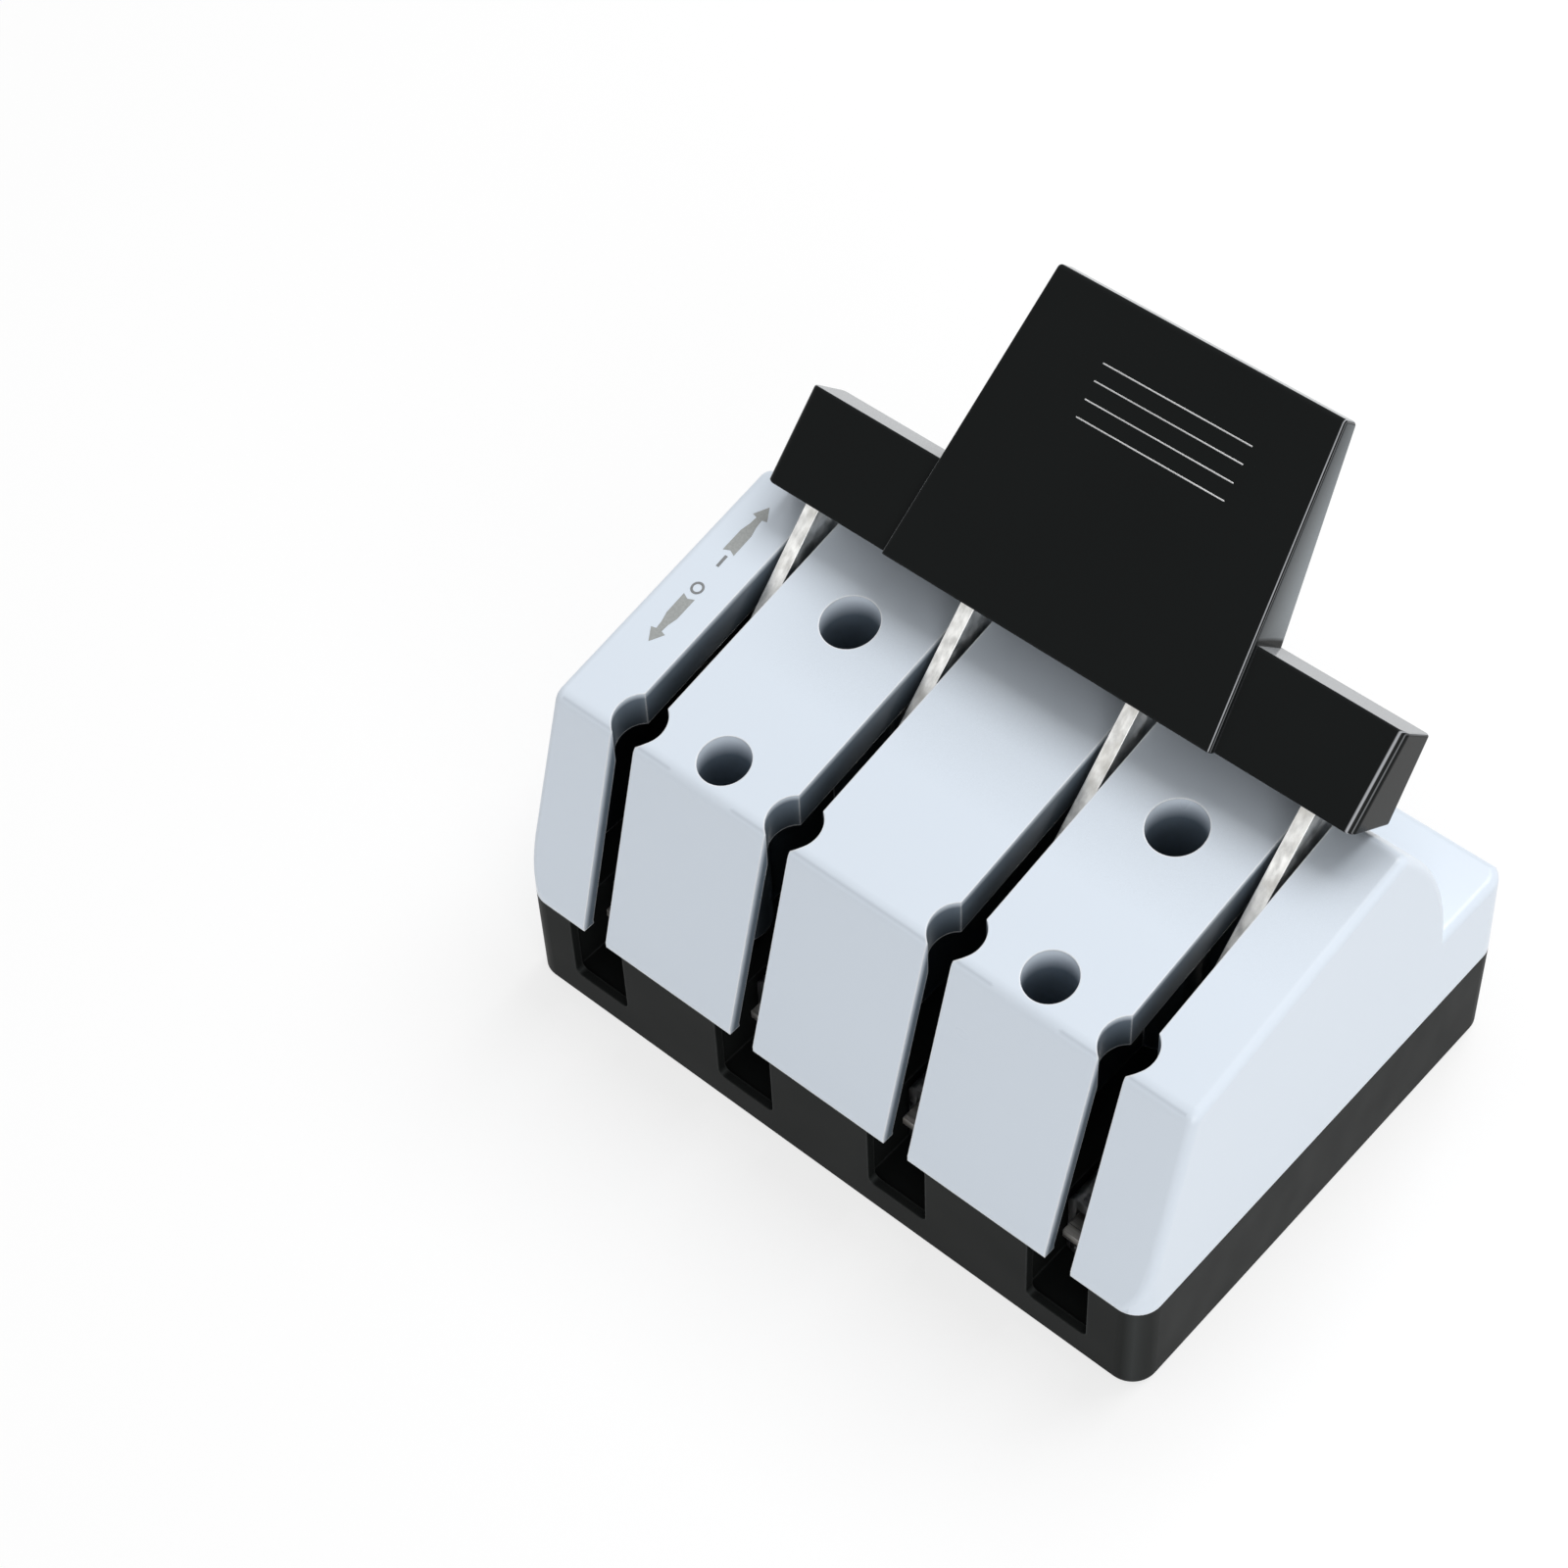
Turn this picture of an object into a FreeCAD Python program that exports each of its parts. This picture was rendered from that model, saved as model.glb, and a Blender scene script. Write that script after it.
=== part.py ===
import FreeCAD, Part
import math
import os

# Four-pole open knife switch. X runs across the poles, Y from the front terminals to the rear
# ones, Z up. The origin is the middle of the underside. All sizes in millimetres and degrees.

# Whole switch
width = 126.0
length = 92.0
poles = 4
corner_radius = 4.5

# Black base
base_height = 20.0
base_wall = 1.6
base_floor = 5.0
base_foot_chamfer = 0.6
channel_width = 14.0
pedestal_top = 15.0
pedestal_margin = 2.0
window_width = 11.6
window_sill = 6.0
window_corner = 1.3
wall_overlap = 0.1

# Pale cover
wall = 2.2
side_draft = 1.4
rim_height = 1.2
fold_setback = 10.8
fold_height = 60.2
slope_angle = 11.7
shelf_height = 38.0
shelf_edge = 1.6
rear_lean = 0.8
fold_radius = 2.8
crest_radius = 2.5
side_edge_radius = 1.5
swing_gap = 0.55
hump_foot_gap = 0.3
slot_width = 4.8
flange_wall = 2.0
flange_depth = 7.0
barrier_wall = 1.8
front_opening_radius = 4.5
rear_opening_radius = 4.0
cut_margin = 1.0

# Deep round holes through strips 2 and 4: cover screws in front, mounting screws on the middle line
cover_screw_setback = 16.7
cover_hole_radius = 4.3
cover_seat_z = 26.0
cover_seat_wall = 3.0
mount_y = 0.0
mount_access_radius = 4.8
mount_hole_radius = 2.7
mount_seat_z = 5.0
tube_wall = 1.6
boss_wall = 2.0

# Snap hooks that hold the back of the cover down
hook_width = 8.0
hook_wall = 1.5
hook_drop = 6.0
hook_nub = 1.2
hook_nub_height = 1.8
hook_play = 0.25

# Hinge line and swing of the blades
hinge_setback = 24.5
hinge_z = 35.5
rest_angle = 46.0
blade_thickness = 2.5
blade_width = 10.0
blade_buried = 14.0
blade_key_radius = 1.3
blade_key_depth = 7.0
tang_width = 4.6
tang_shoulder = 2.4
side_play = 0.08
running_clearance = 0.05

# Handle: crossbar and paddle
bar_overhang = 8.3
bar_height = 16.8
bar_inner_depth = 13.2
bar_outer_depth = 10.1
bar_inner_rise = 2.0
bar_front = 7.5
bar_end_radius = 1.6
bar_back_radius = 1.0
bar_edge_radius = 0.4
insert_gap = 0.05
paddle_rise = 34.4
paddle_proud = 1.0
paddle_foot_width = 62.6
paddle_tip_width = 52.2
paddle_foot_thickness = 10.5
paddle_tip_thickness = 4.2
paddle_edge_radius = 0.7

# Fixed contacts, bent from strip
strip_thickness = 1.6
contact_width = 12.0
contact_side_height = 6.0
contact_lean_height = 8.0
hinge_leaf_width = 10.0
jaw_setback = 32.0
jaw_leaf_width = 12.0
jaw_grip_top = 48.5
jaw_mouth_height = 3.0
jaw_mouth_flare = 1.6
strap_width = 9.4
strap_overhang = 3.6

# Hinge pins
pin_radius = 2.5
pin_head_radius = 4.0
pin_head_height = 1.4
pin_head_chamfer = 0.7

# Steel bands round the jaws
band_thickness = 0.8
band_height = 4.0
band_z = 30.5
band_split = 2.0
band_seat_depth = 0.9

# Rising cage clamps at the wire terminals
front_terminal_setback = 14.8
rear_terminal_setback = 13.0
cage_wall = 1.5
cage_width = 12.9
cage_length = 8.0
cage_bottom_z = 5.3
cage_top_wall = 2.2
cage_travel = 1.3
clamp_screw_radius = 3.0
clamp_head_radius = 4.0
clamp_head_height = 4.0
clamp_screw_stand = 1.0
clamp_head_chamfer = 0.6

# Small screws
small_screw_radius = 2.0
small_head_radius = 3.5
small_head_height = 2.6
small_head_recess = 4.0
cover_screw_depth = 16.0
drive_slot_width = 1.1
drive_slot_depth = 1.2
small_head_chamfer = 0.4
head_clearance = 0.4

# Places nearer than this count as the same when edges are picked
same_place = 0.01

X = FreeCAD.Vector(1, 0, 0)
Z = FreeCAD.Vector(0, 0, 1)

# Places that follow from the sizes above
front_y = -length / 2
rear_y = length / 2
pole_pitch = width / poles
screw_column_x = pole_pitch
cover_screw_y = front_y + cover_screw_setback
front_terminal_y = front_y + front_terminal_setback
rear_terminal_y = rear_y - rear_terminal_setback
hinge_y = front_y + hinge_setback
jaw_y = rear_y - jaw_setback
hump_radius = rear_terminal_y - rear_opening_radius - hump_foot_gap - hinge_y
bar_reach = math.sqrt((hump_radius + swing_gap) ** 2 - bar_front ** 2)
bar_length = (poles - 1) * pole_pitch + 2 * bar_overhang
front_lean = math.atan2(fold_setback, fold_height - base_height - rim_height)
slope_run = math.cos(math.radians(slope_angle))
slope_rise = math.sin(math.radians(slope_angle))
leaf_gap = blade_thickness + 2 * side_play
strap_top_z = pedestal_top + strip_thickness
far = 2 * width


def vec(x, y, z):
    return FreeCAD.Vector(x, y, z)


def pole_x(index):
    return (index - (poles - 1) / 2) * pole_pitch


def pole_places():
    return [pole_x(index) for index in range(poles)]


def screw_columns():
    return [-screw_column_x, screw_column_x]


def block(x0, x1, y0, y1, z0, z1):
    return Part.makeBox(x1 - x0, y1 - y0, z1 - z0, vec(x0, y0, z0))


def post(radius, x, y, z0, z1):
    return Part.makeCylinder(radius, z1 - z0, vec(x, y, z0), Z)


def rod_x(radius, x0, x1, y, z):
    return Part.makeCylinder(radius, x1 - x0, vec(x0, y, z), X)


def polygon(points):
    return Part.Face(Part.makePolygon(points + [points[0]]))


def prism_x(points_yz, x0, x1):
    face = polygon([vec(x0, y, z) for y, z in points_yz])
    return face.extrude(vec(x1 - x0, 0, 0))


def prism_y(points_xz, y0, y1):
    face = polygon([vec(x, y0, z) for x, z in points_xz])
    return face.extrude(vec(0, y1 - y0, 0))


def join(shapes):
    return shapes[0].multiFuse(shapes[1:]).removeSplitter()


def side_x(z, inset):
    """Half width of the cover at height z, moved in by inset."""
    return width / 2 - inset - (z - base_height) * math.tan(math.radians(side_draft))


def drafted_block(inset, y0, y1, z0, z1):
    """Block across the switch with the cover's drafted sides."""
    points = [(-side_x(z0, inset), z0), (side_x(z0, inset), z0),
              (side_x(z1, inset), z1), (-side_x(z1, inset), z1)]
    return prism_y(points, y0, y1)


def round_uprights(solid, y, radius):
    """Round the two upright edges of a drafted block at the given end."""
    uprights = [edge for edge in solid.Edges
                if edge.BoundBox.ZLength > base_height and abs(edge.CenterOfMass.y - y) < radius]
    return solid.makeFillet(radius, uprights)


def fold_point(front_in, top_in):
    """Where the slanted front meets the slope, with both faces moved in."""
    front = (front_y + front_in * math.cos(front_lean),
             base_height + rim_height - front_in * math.sin(front_lean))
    slope = (front_y + fold_setback + top_in * slope_rise, fold_height - top_in * slope_run)
    gap = (slope[0] - front[0], slope[1] - front[1])
    reach = ((gap[0] * slope_rise - gap[1] * slope_run)
             / (math.sin(front_lean) * slope_rise - math.cos(front_lean) * slope_run))
    return (front[0] + reach * math.sin(front_lean), front[1] + reach * math.cos(front_lean))


def crest_point(fold, radius):
    """Where the slope, drawn back from the fold, meets the hump round the hinge line."""
    dy = fold[0] - hinge_y
    dz = fold[1] - hinge_z
    half = dy * slope_run + dz * slope_rise
    reach = math.sqrt(half * half - dy * dy - dz * dz + radius * radius) - half
    return (fold[0] + reach * slope_run, fold[1] + reach * slope_rise)


def hump_point(angle, radius):
    return (hinge_y + radius * math.cos(angle), hinge_z + radius * math.sin(angle))


def outline_prism(front_in, top_in, hump_in, bottom):
    """Side outline of the cover's front part, drawn across the switch, with its faces moved in."""
    radius = hump_radius - hump_in
    rim = (front_y + front_in * math.cos(front_lean),
           base_height + rim_height - front_in * math.sin(front_lean))
    fold = fold_point(front_in, top_in)
    crest = crest_point(fold, radius)
    crest_angle = math.atan2(crest[1] - hinge_z, crest[0] - hinge_y)
    foot_angle = math.asin((bottom - hinge_z) / radius)
    foot = hump_point(foot_angle, radius)
    middle = hump_point((crest_angle + foot_angle) / 2, radius)
    corners = [vec(-width, y, z) for y, z in (foot, (rim[0], bottom), rim, fold, crest)]
    edges = [Part.LineSegment(a, b) for a, b in zip(corners, corners[1:])]
    edges.append(Part.Arc(corners[-1], vec(-width, middle[0], middle[1]), corners[0]))
    wire = Part.Wire([edge.toShape() for edge in edges])
    return Part.Face(wire).extrude(vec(2 * width, 0, 0))


def round_across(solid, point, radius):
    """Round the long edge that runs across the switch through the given point."""
    edges = [edge for edge in solid.Edges
             if edge.BoundBox.XLength > width / 2
             and math.hypot(edge.CenterOfMass.y - point[0], edge.CenterOfMass.z - point[1]) < same_place]
    return solid.makeFillet(radius, edges)


def hood_front(inset, bottom):
    """Front part of the cover: slanted front, long slope and the hump that follows the swing."""
    top = hinge_z + hump_radius
    front = front_y + inset
    body = drafted_block(inset, front, hinge_y + hump_radius + wall, bottom, top)
    body = round_uprights(body, front, corner_radius - inset)
    return body.common(outline_prism(inset, inset, inset, bottom))


def hood_rear(inset, bottom):
    """Low rear part of the cover over the rear terminals."""
    back = rear_y - inset
    body = round_uprights(drafted_block(inset, hinge_y, back, bottom, far), back, corner_radius - inset)
    top = shelf_height - inset
    side = [(hinge_y, bottom), (back, bottom), (back, base_height), (back - rear_lean, top), (hinge_y, top)]
    return body.common(prism_x(side, -width, width))


def soften_front(solid):
    """Round the fold, the crest and the edges along both sides."""
    fold = fold_point(0, 0)
    solid = round_across(solid, fold, fold_radius)
    solid = round_across(solid, crest_point(fold, hump_radius), crest_radius)
    loop = [edge for edge in solid.Edges
            if edge.BoundBox.YLength > same_place and edge.BoundBox.XLength < 2 * corner_radius
            and edge.BoundBox.ZMax > base_height + same_place]
    return solid.makeFillet(side_edge_radius, loop)


def soften_rear(solid):
    """Round the edges round the rear shelf."""
    loop = [edge for edge in solid.Edges
            if edge.BoundBox.ZMin > shelf_height - same_place and edge.BoundBox.YMax > hinge_y + same_place]
    return solid.makeFillet(shelf_edge, loop)


def hood_outside():
    front = soften_front(hood_front(0, base_height))
    rear = soften_rear(hood_rear(0, base_height))
    return front.fuse(rear).removeSplitter()


def hood_inside():
    low = base_height - cut_margin
    return hood_front(wall, low).fuse(hood_rear(wall, low)).removeSplitter()


def cover_ribs(outer):
    """Flanges along the slots, rings round the driver openings and barriers between the poles."""
    below = outline_prism(wall, flange_depth, wall, base_height)
    ribs = []
    for x in pole_places():
        half = slot_width / 2 + flange_wall
        ring = front_opening_radius + flange_wall
        strip = block(x - half, x + half, front_y, hinge_y + hump_radius, base_height, far)
        strip = strip.fuse(post(ring, x, front_terminal_y, base_height, far))
        ribs.append(strip.common(outer).cut(below))
    barriers = [pole_x(index) + pole_pitch / 2 for index in range(poles - 1)]
    for x in barriers:
        rib = block(x - barrier_wall / 2, x + barrier_wall / 2, front_y + wall, rear_y - wall,
                    base_height, far).common(outer)
        ribs.append(rib)
    return ribs


def cover_tubes(outer):
    """Tubes round the deep screw holes."""
    tubes = []
    for x in screw_columns():
        front = post(cover_hole_radius + tube_wall, x, cover_screw_y, cover_seat_z - cover_seat_wall, far)
        middle = post(mount_access_radius + tube_wall, x, mount_y, base_height, far)
        tubes.append(front.common(outer))
        tubes.append(middle.common(outer))
    return tubes


def cover_hooks():
    """Snap hooks inside the rear wall."""
    hooks = []
    back = rear_y - base_wall - hook_play
    foot = base_height - hook_drop
    for x in screw_columns():
        tongue = block(x - hook_width / 2, x + hook_width / 2, back - hook_wall, back, foot,
                       base_height + wall)
        nub = prism_x([(back, foot), (back, foot + hook_nub_height),
                       (back + hook_nub, foot + hook_nub_height)],
                      x - hook_width / 2, x + hook_width / 2)
        hooks.append(tongue)
        hooks.append(nub)
    return hooks


def make_cover():
    outer = hood_outside()
    shell = outer.cut(hood_inside())
    parts = [shell] + cover_ribs(outer) + cover_tubes(outer)
    cover = join(parts)
    for x in screw_columns():
        boss = cover_hole_radius + tube_wall + head_clearance
        cover = cover.cut(post(boss, x, cover_screw_y, 0, cover_seat_z - cover_seat_wall))
    cutters = []
    for x in pole_places():
        half = slot_width / 2
        cutters.append(block(x - half, x + half, front_y - cut_margin, rear_terminal_y, 0, far))
        cutters.append(post(front_opening_radius, x, front_terminal_y, base_height, far))
        cutters.append(post(rear_opening_radius, x, rear_terminal_y, base_height, far))
    for x in screw_columns():
        cutters.append(post(cover_hole_radius, x, cover_screw_y, cover_seat_z, far))
        cutters.append(post(small_screw_radius + head_clearance, x, cover_screw_y, 0, far))
        cutters.append(post(mount_access_radius, x, mount_y, 0, far))
    cover = cover.cut(cutters[0].multiFuse(cutters[1:]))
    cover = join([cover] + cover_hooks())
    return cover


def make_base():
    outer = block(-width / 2, width / 2, front_y, rear_y, 0, base_height)
    upright = [edge for edge in outer.Edges if edge.BoundBox.ZLength > base_height / 2]
    outer = outer.makeFillet(corner_radius, upright)
    foot = [edge for edge in outer.Edges if edge.BoundBox.ZMax < same_place]
    outer = outer.makeChamfer(base_foot_chamfer, foot)
    inside_front = front_y + base_wall
    inside_rear = rear_y - base_wall
    half = channel_width / 2
    hinge_block = (hinge_y - hinge_leaf_width / 2, hinge_y + hinge_leaf_width / 2 + pedestal_margin)
    jaw_block = (jaw_y - jaw_leaf_width / 2 - pedestal_margin, jaw_y + jaw_leaf_width / 2 + pedestal_margin)
    wells = [(inside_front, hinge_block[0]), (hinge_block[1], jaw_block[0]), (jaw_block[1], inside_rear)]
    cutters = []
    for x in pole_places():
        cutters.append(block(x - half, x + half, inside_front, inside_rear, pedestal_top,
                             base_height + cut_margin))
        for y0, y1 in wells:
            cutters.append(block(x - half, x + half, y0, y1, base_floor, base_height))
        window = block(x - window_width / 2, x + window_width / 2, front_y - cut_margin,
                       rear_y + cut_margin, window_sill, base_height + cut_margin)
        sill = [edge for edge in window.Edges
                if edge.BoundBox.ZMax < window_sill + same_place and edge.BoundBox.YLength > length]
        window = window.makeFillet(window_corner, sill)
        keep = block(x - far, x + far, inside_front + wall_overlap, inside_rear - wall_overlap, 0, far)
        cutters.append(window.cut(keep))
        for y in (hinge_y, jaw_y):
            cutters.append(post(small_screw_radius + running_clearance, x, y, 0, base_height))
            cutters.append(post(small_head_radius + head_clearance, x, y, 0, small_head_recess))
    base = outer.cut(cutters[0].multiFuse(cutters[1:]))
    return base.fuse(cover_screw_bosses()).cut(base_holes()).removeSplitter()


def cover_screw_bosses():
    """Round bosses that take the cover screws and carry the cover's seats."""
    bosses = [post(small_screw_radius + boss_wall, x, cover_screw_y, base_floor,
                   cover_seat_z - cover_seat_wall) for x in screw_columns()]
    return bosses[0].multiFuse(bosses[1:])


def base_holes():
    """Screw holes and the pockets for the cover's snap hooks."""
    holes = []
    back = rear_y - base_wall - hook_play
    foot = base_height - hook_drop
    for x in screw_columns():
        pilot_foot = cover_seat_z - cover_screw_depth - cut_margin
        holes.append(post(small_screw_radius + running_clearance, x, cover_screw_y, pilot_foot,
                          base_height + far))
        holes.append(post(mount_hole_radius, x, mount_y, -cut_margin, base_height))
        holes.append(post(mount_access_radius, x, mount_y, mount_seat_z, base_height + cut_margin))
        half = hook_width / 2 + hook_play
        holes.append(block(x - half, x + half, back - hook_wall - hook_play, back + hook_play,
                           foot - cut_margin, base_height + cut_margin))
        holes.append(block(x - half, x + half, back, rear_y + cut_margin, foot - hook_play,
                           foot + hook_nub_height + hook_play))
    return holes[0].multiFuse(holes[1:])


def swing_placement():
    """Moves a shape drawn along Y from the hinge line to its place at the rest angle."""
    return FreeCAD.Placement(vec(0, hinge_y, hinge_z), FreeCAD.Rotation(X, rest_angle))


def blade_outline(x0, x1, margin):
    """Blade drawn along Y: round heel about the hinge line, narrower tang inside the crossbar."""
    half = blade_width / 2 + margin
    shoulder = bar_reach + tang_shoulder + margin
    tang_half = tang_width / 2 + margin
    end = bar_reach + blade_buried + margin
    heel = rod_x(half, x0, x1, 0, 0)
    full = block(x0, x1, 0, shoulder, -half, half)
    tang = block(x0, x1, shoulder, end, -tang_half, tang_half)
    return join([heel, full, tang])


def key_place():
    return bar_reach + blade_key_depth


def make_blade(x):
    x0 = x - blade_thickness / 2
    x1 = x + blade_thickness / 2
    blade = blade_outline(x0, x1, 0)
    blade = blade.cut(rod_x(pin_radius + running_clearance, x0, x1, 0, 0))
    blade = blade.cut(rod_x(blade_key_radius + insert_gap, x0, x1, key_place(), 0))
    blade.Placement = swing_placement()
    return blade


def inner_face(depth):
    """Distance from the hinge line of the crossbar's slanted inner face, at a depth behind its front."""
    return bar_reach + bar_inner_rise * depth / bar_inner_depth


def make_bar():
    """Crossbar: a wedge across the switch, deeper on its inner side."""
    half = bar_length / 2
    outer = bar_reach + bar_height
    section = [(bar_reach, bar_front), (outer, bar_front), (outer, bar_front - bar_outer_depth),
               (inner_face(bar_inner_depth), bar_front - bar_inner_depth)]
    bar = prism_x(section, -half, half)
    ends = [edge for edge in bar.Edges if edge.BoundBox.XLength < same_place]
    front_ends = [edge for edge in ends if edge.BoundBox.ZMin > bar_front - same_place]
    bar = bar.makeFillet(bar_end_radius, front_ends)
    back_ends = [edge for edge in bar.Edges
                 if edge.BoundBox.XLength < same_place and edge.BoundBox.YLength > bar_height / 2
                 and edge.BoundBox.ZMax < bar_front - bar_outer_depth + same_place]
    bar = bar.makeFillet(bar_back_radius, back_ends)
    rims = [edge for edge in bar.Edges
            if edge.BoundBox.YMin > outer - same_place
            or all(abs(spot.Y - inner_face(bar_front - spot.Z)) < same_place for spot in edge.Vertexes)]
    return bar.makeFillet(bar_edge_radius, rims)


def make_paddle():
    """Tapered grip: flat in front, thinner towards its tip."""
    front = bar_front + paddle_proud
    tip = bar_reach + bar_height + paddle_rise
    shoulder = bar_reach + bar_height
    back = front - paddle_foot_thickness
    side = prism_x([(inner_face(-paddle_proud), front), (tip, front), (tip, front - paddle_tip_thickness),
                    (shoulder, back), (inner_face(bar_front - back), back)], -width, width)
    foot = paddle_foot_width / 2
    end = paddle_tip_width / 2
    start = inner_face(-paddle_proud)
    plan = polygon([vec(-foot, start, -far), vec(foot, start, -far),
                    vec(end, tip, -far), vec(-end, tip, -far)]).extrude(vec(0, 0, 2 * far))
    paddle = side.common(plan)
    edges = [edge for edge in paddle.Edges if edge.BoundBox.YMax > shoulder + paddle_edge_radius]
    return paddle.makeFillet(paddle_edge_radius, edges)


def make_handle():
    handle = join([make_bar(), make_paddle()])
    sockets = []
    keys = []
    for x in pole_places():
        half = blade_thickness / 2 + insert_gap
        sockets.append(blade_outline(x - half, x + half, insert_gap))
        keys.append(rod_x(blade_key_radius, x - half - cut_margin, x + half + cut_margin, key_place(), 0))
    handle = handle.cut(sockets[0].multiFuse(sockets[1:]))
    handle = join([handle] + keys)
    handle.Placement = swing_placement()
    return handle


def offset_left(points, distance):
    """The same open outline moved to its left by one strip thickness, with mitred bends."""
    moved = []
    normals = []
    for (x0, z0), (x1, z1) in zip(points, points[1:]):
        size = math.hypot(x1 - x0, z1 - z0)
        normals.append(((z0 - z1) / size, (x1 - x0) / size))
    for index, (x, z) in enumerate(points):
        before = normals[max(index - 1, 0)]
        after = normals[min(index, len(normals) - 1)]
        share = 1 + before[0] * after[0] + before[1] * after[1]
        moved.append((x + distance * (before[0] + after[0]) / share,
                      z + distance * (before[1] + after[1]) / share))
    return moved


def leaf_outline(top, flare):
    """Right half of a bent contact, seen from the front: outside of the strip, going up."""
    lean_z = pedestal_top + contact_side_height
    grip_z = lean_z + contact_lean_height
    grip_x = leaf_gap / 2 + strip_thickness
    points = [(contact_width / 2, pedestal_top), (contact_width / 2, lean_z), (grip_x, grip_z), (grip_x, top)]
    if flare:
        points.append((grip_x + jaw_mouth_flare, top + jaw_mouth_height))
    return points


def bent_contact(y0, y1, top, flare):
    outside = leaf_outline(top, flare)
    inside = offset_left(outside, strip_thickness)
    inside[0] = (inside[0][0], strap_top_z)
    half = [(0, pedestal_top)] + outside + inside[::-1] + [(0, strap_top_z)]
    right = prism_y(half, y0, y1)
    left = prism_y([(-x, z) for x, z in half], y0, y1)
    return join([right, left])


def make_strap(leaf_end, terminal_y):
    """Flat tail of a contact that reaches through its cage clamp."""
    outward = math.copysign(1, terminal_y)
    tip = terminal_y + outward * (cage_length / 2 + strap_overhang)
    y0 = min(leaf_end, tip)
    y1 = max(leaf_end, tip)
    return block(-strap_width / 2, strap_width / 2, y0, y1, pedestal_top, strap_top_z)


def make_hinge_contact(x):
    y0 = hinge_y - hinge_leaf_width / 2
    y1 = hinge_y + hinge_leaf_width / 2
    body = bent_contact(y0, y1, hinge_z + hinge_leaf_width / 2, False)
    crown = rod_x(hinge_leaf_width / 2, -contact_width, contact_width, hinge_y, hinge_z)
    above = block(-contact_width, contact_width, y0, y1, hinge_z, far)
    body = body.cut(above.cut(crown))
    body = body.cut(rod_x(pin_radius + running_clearance, -contact_width, contact_width, hinge_y, hinge_z))
    body = join([body, make_strap(y0, front_terminal_y)])
    body = body.cut(post(small_screw_radius + running_clearance, 0, hinge_y, 0, base_height))
    body.translate(vec(x, 0, 0))
    return body


def band_box(extra):
    """Outside of a jaw inside its band, grown by extra."""
    half = leaf_gap / 2 + strip_thickness + extra
    y0 = jaw_y - jaw_leaf_width / 2 + band_seat_depth - extra
    y1 = jaw_y + jaw_leaf_width / 2 - band_seat_depth + extra
    return block(-half, half, y0, y1, band_z, band_z + band_height)


def make_jaw_contact(x):
    y0 = jaw_y - jaw_leaf_width / 2
    y1 = jaw_y + jaw_leaf_width / 2
    body = bent_contact(y0, y1, jaw_grip_top, True)
    for side in (-1, 1):
        edge = jaw_y + side * jaw_leaf_width / 2
        inner = edge - side * band_seat_depth
        lo = min(edge + side * cut_margin, inner)
        hi = max(edge + side * cut_margin, inner)
        body = body.cut(block(-contact_width, contact_width, lo, hi, band_z - insert_gap,
                              band_z + band_height + insert_gap))
    body = join([body, make_strap(y1, rear_terminal_y)])
    body = body.cut(post(small_screw_radius + running_clearance, 0, jaw_y, 0, base_height))
    body.translate(vec(x, 0, 0))
    return body


def make_jaw_spring(x):
    outer = band_box(band_thickness + insert_gap)
    upright = [edge for edge in outer.Edges if edge.BoundBox.ZLength > band_height / 2]
    outer = outer.makeFillet(band_thickness, upright)
    split = block(-band_split / 2, band_split / 2, jaw_y, far, 0, far)
    band = outer.cut(band_box(insert_gap)).cut(split)
    band.translate(vec(x, 0, 0))
    return band


def make_hinge_pin(x):
    half = leaf_gap / 2 + strip_thickness
    pin = rod_x(pin_radius, -half, half, 0, 0)
    heads = []
    for x0 in (-half - pin_head_height, half):
        head = rod_x(pin_head_radius, x0, x0 + pin_head_height, 0, 0)
        outer_x = x0 if x0 < 0 else x0 + pin_head_height
        rim = [edge for edge in head.Edges
               if abs(edge.BoundBox.XMin - outer_x) < same_place and edge.BoundBox.XLength < same_place]
        heads.append(head.makeChamfer(pin_head_chamfer, rim))
    pin = join([pin] + heads)
    pin.translate(vec(x, hinge_y, hinge_z))
    return pin


def make_clamp(x, y):
    """Rectangular cage that rises to press the wire against the strap."""
    top = strap_top_z + cage_travel + cage_top_wall
    half = cage_width / 2
    y0 = y - cage_length / 2
    y1 = y + cage_length / 2
    cage = block(x - half, x + half, y0, y1, cage_bottom_z, top)
    upright = [edge for edge in cage.Edges if edge.BoundBox.YLength > cage_length / 2]
    cage = cage.makeFillet(cage_wall, upright)
    hollow = block(x - half + cage_wall, x + half - cage_wall, y0, y1, cage_bottom_z + cage_wall,
                   top - cage_top_wall)
    cage = cage.cut(hollow)
    return cage.cut(post(clamp_screw_radius + running_clearance, x, y, strap_top_z, top))


def slotted_head(x, y, z, radius, height, chamfer):
    """Cheese head with a straight driver slot, facing up."""
    head = post(radius, x, y, z, z + height)
    rim = [edge for edge in head.Edges
           if edge.BoundBox.ZMin > z + height - same_place and edge.BoundBox.ZLength < same_place]
    head = head.makeChamfer(chamfer, rim)
    top = z + height
    half = drive_slot_width / 2
    return head.cut(block(x - radius, x + radius, y - half, y + half, top - drive_slot_depth, top))


def make_clamp_screw(x, y):
    seat = strap_top_z + cage_travel + cage_top_wall + clamp_screw_stand
    shank = post(clamp_screw_radius, x, y, strap_top_z, seat)
    return join([shank, slotted_head(x, y, seat, clamp_head_radius, clamp_head_height, clamp_head_chamfer)])


def upward_screws(y):
    """Screws that hold the contacts down, put in from the underside of the base."""
    screws = []
    for x in pole_places():
        shank = post(small_screw_radius, x, y, small_head_recess, strap_top_z)
        head = slotted_head(x, y, 0, small_head_radius, small_head_height, small_head_chamfer)
        head = head.mirror(vec(x, y, small_head_recess / 2), Z)
        screws.append(join([shank, head]))
    return Part.makeCompound(screws)


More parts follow.
